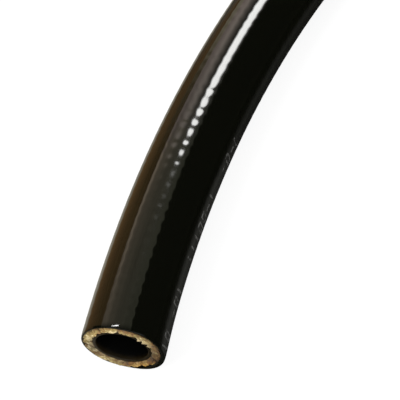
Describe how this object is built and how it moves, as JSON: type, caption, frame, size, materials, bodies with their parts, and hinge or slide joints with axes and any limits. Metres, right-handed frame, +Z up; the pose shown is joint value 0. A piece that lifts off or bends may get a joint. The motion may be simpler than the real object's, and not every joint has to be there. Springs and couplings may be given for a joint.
{
  "type": "flexible hose",
  "caption": "Smooth black hydraulic hose with fibre braid reinforcement, cut square at both ends and lying flat in a gentle bend, ready for end fittings.",
  "frame": {"origin": "middle of the hose's bounding box, at the height of the floor it lies on", "axes": "+Z up from the floor; the near cut end faces -Y and the far cut end faces +X"},
  "size_m": [0.1804, 0.2206, 0.0152],
  "materials": {
    "lining_plastic": "smooth dark plastic with a dull gloss",
    "golden_fibre": "dense golden synthetic fibre strands, cut square and slightly frayed",
    "glossy_cover": "high gloss black, with the braid showing faintly through as a regular ripple"
  },
  "bodies": {
    "root": {"inner_tube": "lining_plastic", "fibre_braid": "golden_fibre", "cover": "glossy_cover"}
  },
  "joints": []
}
